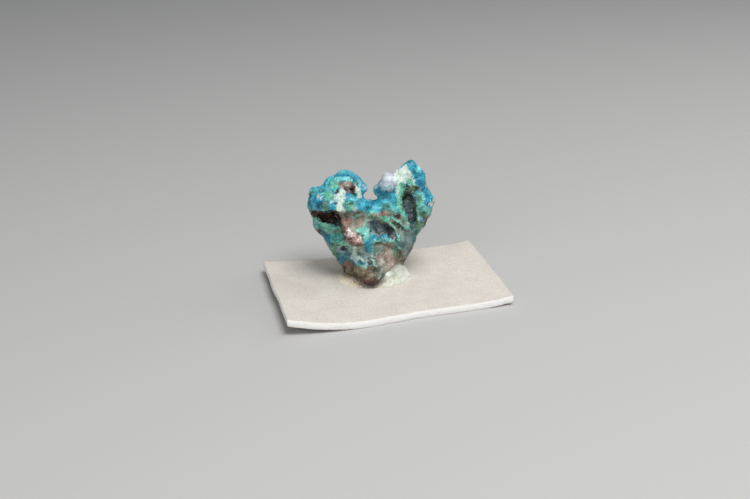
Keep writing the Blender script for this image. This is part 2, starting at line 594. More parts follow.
def bake(piece: bpy.types.Object) -> None:
    """Makes what the modifiers give the piece's own mesh, and removes them."""
    graph = bpy.context.evaluated_depsgraph_get()
    mesh = bpy.data.meshes.new_from_object(piece.evaluated_get(graph))
    piece.modifiers.clear()
    piece.data = mesh


def remesh(piece: bpy.types.Object, voxel_mm: float, smooth_steps: int) -> None:
    """Closes the piece into one skin of even squares, and smooths it.

    Args:
        piece: The piece to change.
        voxel_mm: The squares' size.
        smooth_steps: How many times the skin is smoothed.
    """
    skin = piece.modifiers.new("skin", "REMESH")
    skin.mode = "VOXEL"
    skin.voxel_size = voxel_mm * MM
    smooth = piece.modifiers.new("smooth", "SMOOTH")
    smooth.factor = 0.5
    smooth.iterations = smooth_steps
    bake(piece)


def node_copy(node: str, name: str) -> bpy.types.Object:
    """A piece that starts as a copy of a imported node, with its doubled corners merged.

    Args:
        node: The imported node's name.
        name: The new piece's name.

    Returns:
        The new piece.
    """
    skin = bmesh.new()
    skin.from_mesh(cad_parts[node].data)
    bmesh.ops.remove_doubles(skin, verts=skin.verts, dist=CORNERS_MERGE)
    mesh = bpy.data.meshes.new(name)
    skin.to_mesh(mesh)
    skin.free()
    return new_piece(name, mesh)


def sample(points: np.ndarray, size_mm: float, read: Callable[[Vector], float]) -> np.ndarray:
    """Reads a noise at every point.

    Args:
        points: The places.
        size_mm: The size of the noise's features.
        read: The noise to read.

    Returns:
        One number for each point.
    """
    scaled = (points / (size_mm * MM)).tolist()
    return np.array([read(Vector(place)) for place in scaled])


def wander(points: np.ndarray, size_mm: float, seed: float = 0.0) -> np.ndarray:
    """Smooth noise from about -1 to 1, with features of this size. The seed moves it aside."""
    return sample(points + seed * MM * SEED_STEP_MM, size_mm, noise.noise)


def waves(points: np.ndarray, sizes: Waves, seed: float) -> np.ndarray:
    """Noise in several sizes, each given as its size in millimetres and how far it swings."""
    return sum(reach * wander(points, size_mm, seed) for size_mm, reach in sizes)


def hollowness(mesh: bpy.types.Mesh, steps: int) -> np.ndarray:
    """How far each vertex lies below the skin round it, in millimetres, below 0 on a crest.

    Args:
        mesh: The mesh.
        steps: How many times the skin is smoothed, which sets how wide it looks.

    Returns:
        One depth for each vertex.
    """
    ends = np.empty(len(mesh.edges) * 2, int)
    mesh.edges.foreach_get("vertices", ends)
    here, there = ends.reshape(-1, 2).T
    start = mesh_points(mesh)
    count = len(start)
    shares = np.bincount(here, minlength=count) + np.bincount(there, minlength=count)
    smooth = start.copy()
    for _ in range(steps):
        total = np.zeros_like(smooth)
        for axis in range(3):
            total[:, axis] = np.bincount(here, smooth[there, axis], count)
            total[:, axis] += np.bincount(there, smooth[here, axis], count)
        smooth = 0.5 * smooth + 0.5 * total / shares[:, None]
    return np.sum((smooth - start) * mesh_normals(mesh), axis=1) / MM


def add_numbers(mesh: bpy.types.Mesh, name: str, values: np.ndarray) -> None:
    """Stores one number for each vertex in a named attribute."""
    mesh.attributes.new(name, "FLOAT", "POINT").data.foreach_set("value", values)


def add_colours(mesh: bpy.types.Mesh, name: str, colours: np.ndarray) -> None:
    """Stores one colour for each vertex in a named attribute."""
    full = np.concatenate((colours, np.ones((len(colours), 1))), axis=1)
    layer = mesh.attributes.new(name, "FLOAT_COLOR", "POINT")
    layer.data.foreach_set("color", np.clip(full, 0, 1).reshape(-1))


# ---------------------------------------------------------------- materials


class Tree:
    """A node tree, built a node at a time."""

    def __init__(self, tree: bpy.types.NodeTree) -> None:
        """Takes the tree to build in."""
        self.tree = tree

    def link(self, output: bpy.types.NodeSocket, target: bpy.types.NodeSocket) -> None:
        """Joins two sockets."""
        self.tree.links.new(output, target)

    def node(self, kind: str, inputs: dict[object, object], **settings: object) -> bpy.types.Node:
        """Adds a node.

        Args:
            kind: The node's type.
            inputs: A value or an output for each input socket, by name or number.
            settings: The node's own settings.

        Returns:
            The node.
        """
        made = self.tree.nodes.new(kind)
        for name, value in settings.items():
            setattr(made, name, value)
        for name, value in inputs.items():
            if isinstance(value, bpy.types.NodeSocket):
                self.link(value, made.inputs[name])
            else:
                made.inputs[name].default_value = value
        return made


class Shader(Tree):
    """A material's node tree, with its principled shader."""

    def __init__(self, name: str) -> None:
        """Starts a material of this name."""
        self.material = bpy.data.materials.new(name)
        self.material.use_nodes = True
        super().__init__(self.material.node_tree)
        self.surface = self.tree.nodes["Principled BSDF"]
        self.place = self.tree.nodes.new("ShaderNodeTexCoord").outputs["Object"]

    def set(self, **values: object) -> None:
        """Sets the principled shader's sockets, whose names have _ for a space."""
        for name, value in values.items():
            self.surface.inputs[name.replace("_", " ")].default_value = value

    def feed(self, name: str, output: bpy.types.NodeSocket) -> None:
        """Joins an output to one of the principled shader's sockets."""
        self.link(output, self.surface.inputs[name])

    def attribute(self, name: str, kind: str = "Fac") -> bpy.types.NodeSocket:
        """Reads one of the mesh's attributes."""
        return self.node("ShaderNodeAttribute", {}, attribute_name=name).outputs[kind]

    def noise(self, size_mm: float, detail: float = 3.0) -> bpy.types.NodeSocket:
        """Noise from 0 to 1 with features of this size."""
        made = self.node("ShaderNodeTexNoise", {
            "Vector": self.place, "Scale": 1 / (size_mm * MM), "Detail": detail,
        })
        return made.outputs["Fac"]

    def math(self, operation: str, first: object, second: object = 0.0) -> bpy.types.NodeSocket:
        """One step of arithmetic on numbers."""
        return self.node("ShaderNodeMath", {0: first, 1: second}, operation=operation).outputs[0]

    def rise(self, value: object, low: float, high: float, least: float = 0.0,
             most: float = 1.0) -> bpy.types.NodeSocket:
        """Maps a number's range from low to high onto least to most, and holds it there."""
        inputs = {"Value": value, "From Min": low, "From Max": high, "To Min": least,
                  "To Max": most}
        return self.node("ShaderNodeMapRange", inputs).outputs["Result"]

    def mix(self, share: object, first: object, second: object,
            blend: str = "MIX") -> bpy.types.NodeSocket:
        """Blends two colours.

        Args:
            share: How much of the second colour, from 0 to 1.
            first: The first colour.
            second: The second colour.
            blend: The way of blending.

        Returns:
            The blended colour.
        """
        made = self.node("ShaderNodeMix", {0: share, 6: first, 7: second}, data_type="RGBA",
                         blend_type=blend)
        return made.outputs[2]

    def shade(self, value: bpy.types.NodeSocket) -> bpy.types.NodeSocket:
        """Makes a grey of a number, to multiply a colour with."""
        made = self.node("ShaderNodeCombineColor", {"Red": value, "Green": value, "Blue": value})
        return made.outputs["Color"]

    def dapple(self, colour: object, height: object, span: Range) -> bpy.types.NodeSocket:
        """Darkens and lightens a colour where a noise is low and high.

        Args:
            colour: The colour.
            height: The noise, from 0 to 1.
            span: What the colour is multiplied by at the noise's low and high parts.

        Returns:
            The dappled colour.
        """
        grey = self.shade(self.rise(height, 0.3, 0.7, *span))
        return self.mix(1.0, colour, grey, "MULTIPLY")

    def bump(self, height: object, depth_mm: float, strength: object = 1.0,
             normal: object = None) -> bpy.types.NodeSocket:
        """Turns a height from 0 to 1 into a tilt of the surface.

        Args:
            height: The height.
            depth_mm: How high 1 stands.
            strength: How much of it shows.
            normal: A tilt to start from.

        Returns:
            The tilted normal.
        """
        inputs = {"Height": height, "Distance": depth_mm * MM, "Strength": strength}
        if normal is not None:
            inputs["Normal"] = normal
        return self.node("ShaderNodeBump", inputs).outputs["Normal"]


@dataclass(frozen=True)
class StoneFinish:
    """The stone's skin: each mineral's colour and polish, with grain, specks and glinting facets."""

    grain_mm: float = 0.4
    facet_mm: float = 0.42
    speck_mm: float = 0.45
    speck_colour: Colour = linear(206, 214, 210)
    speck_from: Range = (0.64, 0.7)
    grain_shade: Range = (0.76, 1.22)
    fine_shade: Range = (0.9, 1.1)
    polish_swing: Range = (-0.08, 0.1)
    grain_depth_mm: float = 0.12
    grain_strength: float = 0.7
    fine_depth_mm: float = 0.03
    fine_strength: float = 0.6

    def material(self) -> bpy.types.Material:
        """Builds the material, which reads the stone's own mineral attributes."""
        ink = Shader("chrysocolla_stone")
        grain = ink.noise(self.grain_mm, 6.0)
        fine = ink.noise(self.grain_mm / 4, 3.0)
        colour = ink.dapple(ink.attribute("mineral_colour", "Color"), grain, self.grain_shade)
        colour = ink.dapple(colour, fine, self.fine_shade)
        spots = ink.rise(ink.noise(self.speck_mm, 2.0), *self.speck_from)
        specks = ink.math("MULTIPLY", spots, ink.attribute("specks"))
        ink.feed("Base Color", ink.mix(specks, colour, (*self.speck_colour, 1)))
        rough = ink.rise(fine, 0.2, 0.8, *self.polish_swing)
        ink.feed("Roughness", ink.math("ADD", ink.attribute("roughness"), rough))
        ink.feed("Metallic", ink.attribute("metal"))
        ink.feed("Normal", self.tilt(ink, grain, fine))
        return ink.material

    def tilt(self, ink: Shader, grain: bpy.types.NodeSocket,
             fine: bpy.types.NodeSocket) -> bpy.types.NodeSocket:
        """Builds the surface's tilt: grain, and flat facets that catch the light one by one.

        Args:
            ink: The material's tree.
            grain: The grain's height.
            fine: The finest grain's height.

        Returns:
            The tilted normal.
        """
        cells = ink.node("ShaderNodeTexVoronoi", {
            "Vector": ink.place, "Scale": 1 / (self.facet_mm * MM),
        })
        lean = ink.node("ShaderNodeVectorMath", {
            0: cells.outputs["Color"], 1: (0.5, 0.5, 0.5),
        }, operation="SUBTRACT")
        lean = ink.node("ShaderNodeVectorMath", {
            0: lean.outputs[0], "Scale": ink.attribute("facets"),
        }, operation="SCALE")
        normal = ink.node("ShaderNodeNewGeometry", {}).outputs["Normal"]
        tilted = ink.node("ShaderNodeVectorMath", {0: normal, 1: lean.outputs[0]}, operation="ADD")
        tilted = ink.node("ShaderNodeVectorMath", {0: tilted.outputs[0]}, operation="NORMALIZE")
        coarse = ink.bump(grain, self.grain_depth_mm, self.grain_strength, tilted.outputs[0])
        return ink.bump(fine, self.fine_depth_mm, self.fine_strength, coarse)


@dataclass(frozen=True)
class CrystalFinish:
    """Small clear or pale crystals."""

    name: str
    colour: Colour
    roughness: float = 0.12
    clear: float = 0.5
    metal: float = 0.0
    ior: float = 1.54
    cloud_mm: float = 0.5
    cloud_shade: Range = (0.82, 1.1)
    grain_mm: float = 0.12
    grain_depth_mm: float = 0.01

    def material(self) -> bpy.types.Material:
        """Builds the material."""
        ink = Shader(self.name)
        ink.set(Roughness=self.roughness, Transmission_Weight=self.clear, IOR=self.ior,
                Metallic=self.metal)
        cloud = ink.noise(self.cloud_mm, 3.0)
        ink.feed("Base Color", ink.dapple((*self.colour, 1), cloud, self.cloud_shade))
        ink.feed("Normal", ink.bump(ink.noise(self.grain_mm, 2.0), self.grain_depth_mm))
        return ink.material


@dataclass(frozen=True)
class GlueFinish:
    """Hot-melt glue: clear at its left, milky at its right, with a waxy polish."""

    milk: Colour = linear(238, 248, 230)
    clear: Colour = linear(236, 228, 208)
    roughness: float = 0.22
    ior: float = 1.42
    glow: float = 0.8
    glow_reach: Colour = (1.0, 1.0, 0.9)
    glow_mm: float = 2.5
    wisp_mm: float = 1.3
    wisp_swing: Range = (-0.35, 0.35)
    see_through: Range = (0.92, 0.3)
    ripple_mm: float = 2.0
    ripple_depth_mm: float = 0.05
    ripple_strength: float = 0.5

    def material(self) -> bpy.types.Material:
        """Builds the material, which reads how milky the glue is."""
        ink = Shader("clear_glue")
        ink.set(Roughness=self.roughness, IOR=self.ior, Subsurface_Weight=self.glow,
                Subsurface_Radius=self.glow_reach, Subsurface_Scale=self.glow_mm * MM)
        wisps = ink.rise(ink.noise(self.wisp_mm, 2.0), 0.35, 0.65, *self.wisp_swing)
        milky = ink.rise(ink.math("ADD", ink.attribute("milky"), wisps), 0.0, 1.0)
        ink.feed("Transmission Weight", ink.rise(milky, 0.0, 1.0, *self.see_through))
        ink.feed("Base Color", ink.mix(milky, (*self.clear, 1), (*self.milk, 1)))
        ripples = ink.noise(self.ripple_mm, 1.0)
        ink.feed("Normal", ink.bump(ripples, self.ripple_depth_mm, self.ripple_strength))
        return ink.material


@dataclass(frozen=True)
class FoamFinish:
    """White closed-cell foam sheet: fine cells on its faces, a smoother, brighter cut edge."""

    face: Colour = linear(222, 215, 205)
    shade: Colour = linear(214, 206, 196)
    edge: Colour = linear(246, 243, 240)
    roughness: float = 0.62
    glow: float = 0.12
    glow_mm: float = 0.6
    cloud_mm: float = 4.0
    cell_mm: float = 0.3
    cell_shade: Range = (0.84, 1.1)
    cell_depth_mm: float = 0.035
    cell_strength: float = 0.7
    grit_mm: float = 0.12
    grit_depth_mm: float = 0.02
    grit_strength: float = 0.8

    def material(self) -> bpy.types.Material:
        """Builds the material, which reads where the sheet's cut edge is."""
        ink = Shader("foam_sheet")
        ink.set(Roughness=self.roughness, Subsurface_Weight=self.glow,
                Subsurface_Radius=(1.0, 1.0, 1.0), Subsurface_Scale=self.glow_mm * MM)
        cloud = ink.rise(ink.noise(self.cloud_mm, 5.0), 0.35, 0.65)
        colour = ink.mix(cloud, (*self.face, 1), (*self.shade, 1))
        colour = ink.dapple(colour, ink.noise(self.cell_mm, 3.0), self.cell_shade)
        ink.feed("Base Color", ink.mix(ink.attribute("cut_edge"), colour, (*self.edge, 1)))
        cells = ink.node("ShaderNodeTexVoronoi", {
            "Vector": ink.place, "Scale": 1 / (self.cell_mm * MM),
        })
        bumps = ink.bump(cells.outputs["Distance"], self.cell_depth_mm, self.cell_strength)
        grit = ink.noise(self.grit_mm, 3.0)
        ink.feed("Normal", ink.bump(grit, self.grit_depth_mm, self.grit_strength, bumps))
        return ink.material


# ---------------------------------------------------------------- scattered pieces


class Grain(Enum):
    """The shapes that are scattered over a bed."""

    CRYSTAL = "six-sided prism with a point"
    GLOBULE = "ball"
    CUBE = "cube"


@dataclass
class Scatter:
    """Small solids that grow out of a bed of faces, made by a Geometry Nodes tree."""

    name: str
    grain: Grain
    width_mm: float
    height_mm: float
    spacing_mm: float
    density: float
    scales: tuple[float, float] = (0.5, 1.0)
    lean: float = 0.5
    sink_mm: float = 0.0
    seed: int = 1

    def solid(self, growth: Tree, given: bpy.types.Node) -> bpy.types.NodeSocket:
        """Builds one grain in the tree.

        Args:
            growth: The Geometry Nodes tree.
            given: Its group input, which has the Width and Height sockets.

        Returns:
            The grain's geometry.
        """
        width, height = given.outputs["Width"], given.outputs["Height"]
        if self.grain is Grain.GLOBULE:
            ball = growth.node("GeometryNodeMeshIcoSphere", {"Subdivisions": 2, "Radius": width})
            return ball.outputs["Mesh"]
        if self.grain is Grain.CUBE:
            sides = growth.node("ShaderNodeCombineXYZ", {"X": width, "Y": width, "Z": width})
            return growth.node("GeometryNodeMeshCube", {"Size": sides.outputs[0]}).outputs["Mesh"]
        half = growth.node("ShaderNodeMath", {0: height, 1: 0.5}, operation="MULTIPLY")
        prism, tip = (growth.node("GeometryNodeMeshCone", {
            "Vertices": 6, "Radius Bottom": width, "Radius Top": top, "Depth": depth,
        }) for top, depth in ((width, height), (0.0, half.outputs[0])))
        lift = growth.node("ShaderNodeCombineXYZ", {"Z": height})
        raised = growth.node("GeometryNodeTransform", {
            "Geometry": tip.outputs["Mesh"], "Translation": lift.outputs[0],
        })
        joined = growth.node("GeometryNodeJoinGeometry", {"Geometry": prism.outputs["Mesh"]})
        growth.link(raised.outputs["Geometry"], joined.inputs["Geometry"])
        return joined.outputs["Geometry"]

    def tree(self, material: bpy.types.Material) -> bpy.types.NodeTree:
        """Builds the tree: points on the bed, a grain on each, realized and given its material.

        Args:
            material: The grains' material.

        Returns:
            The tree, with named inputs for the grain's sizes, spacing, density and seed.
        """
        growth = Tree(bpy.data.node_groups.new(self.name, "GeometryNodeTree"))
        face = growth.tree.interface
        face.new_socket("Geometry", in_out="INPUT", socket_type="NodeSocketGeometry")
        for name in ("Width", "Height", "Spacing", "Density", "Least Scale", "Most Scale", "Lean"):
            face.new_socket(name, in_out="INPUT", socket_type="NodeSocketFloat")
        face.new_socket("Seed", in_out="INPUT", socket_type="NodeSocketInt")
        face.new_socket("Geometry", in_out="OUTPUT", socket_type="NodeSocketGeometry")
        given = growth.node("NodeGroupInput", {})
        asked = given.outputs
        spread = growth.node("GeometryNodeDistributePointsOnFaces", {
            "Mesh": asked["Geometry"], "Distance Min": asked["Spacing"],
            "Density Max": asked["Density"], "Seed": asked["Seed"],
        }, distribute_method="POISSON")
        size = growth.node("FunctionNodeRandomValue", {
            2: asked["Least Scale"], 3: asked["Most Scale"], "Seed": asked["Seed"],
        }, data_type="FLOAT")
        back = growth.node("ShaderNodeMath", {0: asked["Lean"], 1: -1.0}, operation="MULTIPLY")
        low = growth.node("ShaderNodeCombineXYZ", {"X": back.outputs[0], "Y": back.outputs[0]})
        high = growth.node("ShaderNodeCombineXYZ", {
            "X": asked["Lean"], "Y": asked["Lean"], "Z": math.tau,
        })
        sway = growth.node("FunctionNodeRandomValue", {
            0: low.outputs[0], 1: high.outputs[0], "Seed": asked["Seed"],
        }, data_type="FLOAT_VECTOR")
        euler = growth.node("FunctionNodeEulerToRotation", {0: sway.outputs[0]})
        turn = growth.node("FunctionNodeRotateRotation", {
            "Rotation": spread.outputs["Rotation"], "Rotate By": euler.outputs[0],
        }, rotation_space="LOCAL")
        place = growth.node("GeometryNodeInstanceOnPoints", {
            "Points": spread.outputs["Points"], "Instance": self.solid(growth, given),
            "Rotation": turn.outputs[0], "Scale": size.outputs[1],
        })
        real = growth.node("GeometryNodeRealizeInstances", {
            "Geometry": place.outputs["Instances"],
        })
        paint = growth.node("GeometryNodeSetMaterial", {
            "Geometry": real.outputs["Geometry"], "Material": material,
        })
        growth.node("NodeGroupOutput", {"Geometry": paint.outputs["Geometry"]})
        return growth.tree

    def build(self, bed: bpy.types.Mesh, finish: CrystalFinish) -> bpy.types.Object:
        """Grows the grains on a bed.

        Args:
            bed: The faces that they grow on.
            finish: Their finish.

        Returns:
            The grains as one piece.
        """
        move_points(bed, mesh_points(bed) - mesh_normals(bed) * self.sink_mm * MM)
        piece = new_piece(self.name, bed)
        grow = piece.modifiers.new("grow", "NODES")
        grow.node_group = self.tree(finish.material())
        sizes = {
            "Width": self.width_mm * MM, "Height": self.height_mm * MM,
            "Spacing": self.spacing_mm * MM, "Density": self.density / MM**2,
            "Least Scale": self.scales[0], "Most Scale": self.scales[1], "Lean": self.lean,
            "Seed": self.seed,
        }
        for item in grow.node_group.interface.items_tree:
            if item.in_out == "INPUT" and item.name in sizes:
                grow[item.identifier] = sizes[item.name]
        bake(piece)
        for polygon in piece.data.polygons:
            polygon.use_smooth = self.grain is Grain.GLOBULE
        return piece


def faces_where(mesh: bpy.types.Mesh, share: Weights, least: float) -> bpy.types.Mesh:
    """A mesh of the faces whose corners all have at least this share.

    Args:
        mesh: The mesh to take faces from.
        share: One number for each vertex.
        least: The least that a corner may have.

    Returns:
        A new mesh with those faces.
    """
    skin = bmesh.new()
    skin.from_mesh(mesh)
    skin.verts.ensure_lookup_table()
    gone = [vertex for vertex, value in zip(skin.verts, share) if value < least]
    bmesh.ops.delete(skin, geom=gone, context="VERTS")
    bed = bpy.data.meshes.new("bed")
    skin.to_mesh(bed)
    skin.free()
    return bed


# ---------------------------------------------------------------- the stone


@dataclass
class Stone:
    """The whole specimen, with its crust, hollows and minerals."""

    voxel_mm: float = 0.165
    smooth_steps: int = 8
    warp: Waves = ((2.0, 20.0), (0.8, 15.0), (0.3, 9.0))
    fray: Waves = ((0.5, 12.0), (0.22, 14.0))
    tear: Waves = ((0.7, 0.3), (0.35, 0.25), (0.16, 0.2))
    drift: Waves = ((2.8, 0.6), (1.1, 0.75), (0.42, 0.32), (0.18, 0.12))
    globules: Waves = ((2.1, 0.3), (1.0, 0.2), (0.42, 0.13))
    globule_fill: float = 0.75
    globule_middle: float = 0.6
    crag_mm: float = 0.9
    crag_rise_mm: float = 0.3
    crag_middle: float = 1.3
    crag_part: float = 0.35
    chip_size: float = 0.7
    chip_part: float = 1.6
    chip_seed: int = 7
    crust_wander: Range = (2.5, 30.0)
    crust_drift_mm: float = 3.4
    crust_patch_mm: float = 1.5
    breccia_mm: float = 2.6
    breccia_bend: Waves = ((1.6, 0.5), (0.5, 0.22))
    breccia_share: float = 0.7
    breccia: tuple[tuple[Mineral, float, float], ...] = (
        (Mineral.RUST, -1.0, -0.28), (Mineral.OLIVE, -0.28, -0.1), (Mineral.GLASSY, 0.08, 0.2),
        (Mineral.TEAL, 0.2, 0.34), (Mineral.BROWN, 0.34, 1.0),
    )
    face_ends: Range = (-0.36, -0.1)
    face_wander: Range = (1.2, 0.12)
    near_steps: int = 3
    wide_steps: int = 25
    crest_pale: Range = (0.25, 0.04)
    pit_deep: Range = (0.35, 0.05)
    near_dim: tuple[float, float, float] = (0.3, 0.005, 0.06)
    wide_dim: tuple[float, float, float] = (0.24, 0.06, 0.5)
    sight: Sight = field(default_factory=Sight)
    shares: dict[Mineral, Weights] = field(init=False, default_factory=dict)

    def build(self) -> list[bpy.types.Object]:
        """Builds the stone and the small crystals that grow on it.

        Returns:
            The stone and its crystals.
        """
        stone = node_copy("stone", "chrysocolla_stone")
        remesh(stone, self.voxel_mm, self.smooth_steps)
        self.weather(stone.data)
        stone.data.materials.append(StoneFinish().material())
        stone.data.shade_smooth()
        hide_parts("stone")
        pieces = [stone, *self.crystals(stone.data)]
        for piece in pieces:
            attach(piece, "root")
        return pieces

    def weather(self, mesh: bpy.types.Mesh) -> None:
        """Colours the skin with its minerals and raises their relief.

        Args:
            mesh: The stone's mesh, in the row frame.
        """
        points, normals = mesh_points(mesh), mesh_normals(mesh)
        spots = self.sight.grid(points)
        for index, (size_mm, reach) in enumerate(self.warp):
            spots[:, 0] += reach * wander(points, size_mm, 3.1 + index)
            spots[:, 1] += reach * wander(points, size_mm, 7.7 + index)
        fray = waves(points, self.fray, 15.0)
        size_mm, reach = self.face_wander
        facing = self.sight.facing(normals) + reach * wander(points, size_mm, 5.0)
        front = ramp(facing, *self.face_ends)
        skin = self.natural_skin(points, spots)
        proud = np.zeros(len(points))
        for mark in FACE_MARKS:
            share = mark.weights(spots, fray) * front
            self.lay(skin, mark.mineral, share)
            proud += share * mark.proud_mm
        for name in ("roughness", "metal", "facets", "specks"):
            add_numbers(mesh, name, skin[name])
        proud += self.relief(points, skin)
        move_points(mesh, points + normals * (proud * MM)[:, None])
        add_colours(mesh, "mineral_colour", self.paint(mesh, points, skin))

    def paint(self, mesh: bpy.types.Mesh, points: np.ndarray,
              skin: dict[str, np.ndarray]) -> np.ndarray:
        """The skin's colour: paler on crests, deeper and darker where it is sunken.

        Args:
            mesh: The stone's mesh, with its relief.
            points: Where its vertices were before the relief.
            skin: Each part of the finish, for every vertex.

        Returns:
            A linear colour for every vertex.
        """
        near, wide = hollowness(mesh, self.near_steps), hollowness(mesh, self.wide_steps)
        tone = 0.5 + waves(points, self.drift, 11.0)
        (paler, crest), (deeper, pit) = self.crest_pale, self.pit_deep
        tone = np.clip(tone + paler * ramp(-near, 0.0, crest) - deeper * ramp(near, 0.0, pit), 0, 1)
        colour = skin["deep"] * (1 - tone)[:, None] + skin["pale"] * tone[:, None]
        light = 1
        for depth, (loss, *ends) in ((near, self.near_dim), (wide, self.wide_dim)):
            light = light - loss * ramp(depth, *ends)
        return colour * light[:, None]

    def lay(self, skin: dict[str, np.ndarray], mineral: Mineral, share: Weights) -> None:
        """Lays a mineral over the skin.

        Args:
            skin: Each part of the finish, for every vertex.
            mineral: The mineral.
            share: How much of it covers each vertex, from 0 to 1.
        """
        for name, values in skin.items():
            part = getattr(mineral.value, name)
            wide = share[:, None] if values.ndim == 2 else share
            skin[name] = values * (1 - wide) + np.array(part) * wide
        for other in self.shares:
            self.shares[other] = self.shares[other] * (1 - share)
        self.shares[mineral] = self.shares.get(mineral, 0) + share

    def natural_skin(self, points: np.ndarray, spots: Spots) -> dict[str, np.ndarray]:
        """The stone's skin where no mark lies: crust above, broken ore with veins below.

        Args:
            points: The vertices' places.
            spots: Where they are seen.

        Returns:
            Each part of the finish, for every vertex.
        """
        count = len(points)
        skin = {"pale": np.zeros((count, 3)), "deep": np.zeros((count, 3))}
        for name in ("roughness", "metal", "facets", "specks", "botryoidal", "craggy"):
            skin[name] = np.zeros(count)
        edge = np.interp(spots[:, 0], *np.array(CRUST_EDGE, float).T)
        size_mm, reach = self.crust_wander
        crust = ramp(edge - spots[:, 1] + reach * wander(points, size_mm, 2.0), -10, 10)
        drift = wander(points, self.crust_drift_mm, 21.0)
        patch = wander(points, self.crust_patch_mm, 22.0)
        bent = points / (self.breccia_mm * MM)
        for size_mm, reach in self.breccia_bend:
            bent = bent + reach * np.stack([wander(points, size_mm, 31.0 + a) for a in range(3)], 1)
        cells = [noise.voronoi(Vector(place)) for place in bent.tolist()]
        pick = np.array([noise.noise(ends[0] * 7.3) for _, ends in cells])
        gap = np.array([far[1] - far[0] for far, _ in cells])
        self.lay(skin, M.BEIGE, np.ones(count))
        for mineral, low, high in self.breccia:
            whole = ((pick > low) & (pick <= high)).astype(float)
            self.lay(skin, mineral, whole * ramp(gap, 0.02, 0.2) * self.breccia_share)
        self.lay(skin, M.TURQUOISE, ramp(-gap, -0.14, -0.04) * ramp(drift, -0.1, 0.2) * 0.8)
        self.lay(skin, M.TEAL, ramp(patch, 0.18, 0.3) * ramp(drift, -0.1, 0.1) * 0.8)
        torn = waves(points, self.tear, 23.0)
        self.lay(skin, M.AZURE, crust)
        self.lay(skin, M.DEEP_AZURE, crust * ramp(drift + torn, -0.05, 0.3))
        self.lay(skin, M.AQUA, crust * ramp(torn - patch, 0.16, 0.5) * 0.8)
        self.lay(skin, M.GREEN, crust * ramp(patch + torn, 0.2, 0.5) * ramp(drift, -0.05, 0.2) * 0.8)
        self.lay(skin, M.CHALK, crust * ramp(torn - drift, 0.36, 0.6))
        return skin

    def relief(self, points: np.ndarray, skin: dict[str, np.ndarray]) -> np.ndarray:
        """How far the minerals' own forms stand proud.

        Args:
            points: The vertices' places.
            skin: Each part of the finish, for every vertex.

        Returns:
            Millimetres for every vertex.
        """
        rise = np.zeros(len(points))
        for size_mm, rise_mm in self.globules:
            near = sample(points, size_mm, lambda place: noise.voronoi(place)[0][0])
            dome = np.sqrt(np.clip(1 - (near / self.globule_fill) ** 2, 0, 1))
            rise += (dome - self.globule_middle) * rise_mm * skin["botryoidal"]
        crag = sample(points, self.crag_mm, lambda place: noise.ridged_multi_fractal(
            place, 0.9, 2.1, 4, 1.0, 2.0))
        noise.seed_set(self.chip_seed)
        chip = sample(points, self.crag_mm * self.chip_size, self.chip)
        rough = (crag - self.crag_middle) * self.crag_part + chip * self.chip_part
        rise += rough * self.crag_rise_mm * skin["craggy"]
        return rise

    @staticmethod
    def chip(place: Vector) -> float:
        """The height of flat, tilted chips, one for each cell of a random net, once it is seeded."""
        middle = noise.voronoi(place)[1][0]
        return (place - middle).dot(noise.noise_vector(middle * 5.1))

    def crystals(self, mesh: bpy.types.Mesh) -> list[bpy.types.Object]:
        """Grows the druse, globules, ore grains and chips on the minerals that bear them.

        Args:
            mesh: The finished stone's mesh.

        Returns:
            The crystals, one piece for each kind.
        """
        small_to_large = (0.4, 1.0)
        kinds = (
            (Scatter("quartz_druse", Grain.CRYSTAL, width_mm=0.1, height_mm=0.12, spacing_mm=0.24,
                     density=7, scales=small_to_large, lean=0.6, sink_mm=0.07, seed=3),
             CrystalFinish("druse_quartz", linear(208, 214, 220), 0.3, 0.2), (M.QUARTZ,), 0.55),
            (Scatter("chalky_druse", Grain.CRYSTAL, width_mm=0.09, height_mm=0.12, spacing_mm=0.22,
                     density=7, scales=small_to_large, lean=0.9, sink_mm=0.06, seed=5),
             CrystalFinish("chalky_quartz", linear(200, 220, 210), 0.35, 0.15),
             (M.CHALK, M.ICE), 0.6),
            (Scatter("crust_globules", Grain.GLOBULE, width_mm=0.2, height_mm=0.2, spacing_mm=0.34,
                     density=2.4, scales=small_to_large, lean=0.2, sink_mm=0.06, seed=7),
             CrystalFinish("crust_globule", linear(48, 164, 188), 0.4, 0.0),
             (M.AZURE, M.DEEP_AZURE), 0.85),
            (Scatter("ore_grains", Grain.CUBE, width_mm=0.14, height_mm=0.14, spacing_mm=0.3,
                     density=2.2, scales=small_to_large, lean=1.2, sink_mm=0.02, seed=9),
             CrystalFinish("brassy_ore", linear(206, 172, 104), 0.25, 0.0, 0.85), (M.OLIVE,), 0.6),
            (Scatter("glassy_chips", Grain.CRYSTAL, width_mm=0.1, height_mm=0.1, spacing_mm=0.32,
                     density=2.0, scales=small_to_large, lean=1.3, sink_mm=0.05, seed=11),
             CrystalFinish("clear_quartz", linear(214, 222, 220), 0.08, 0.7),
             (M.SMOKY, M.GLASSY, M.ROSE, M.COPPER), 0.6),
        )
        grown = []
        for scatter, finish, minerals, least in kinds:
            share = sum(self.shares.get(mineral, 0) for mineral in minerals)
            bed = faces_where(mesh, share, least)
            grown.append(scatter.build(bed, finish))
        return grown


# ---------------------------------------------------------------- the glue


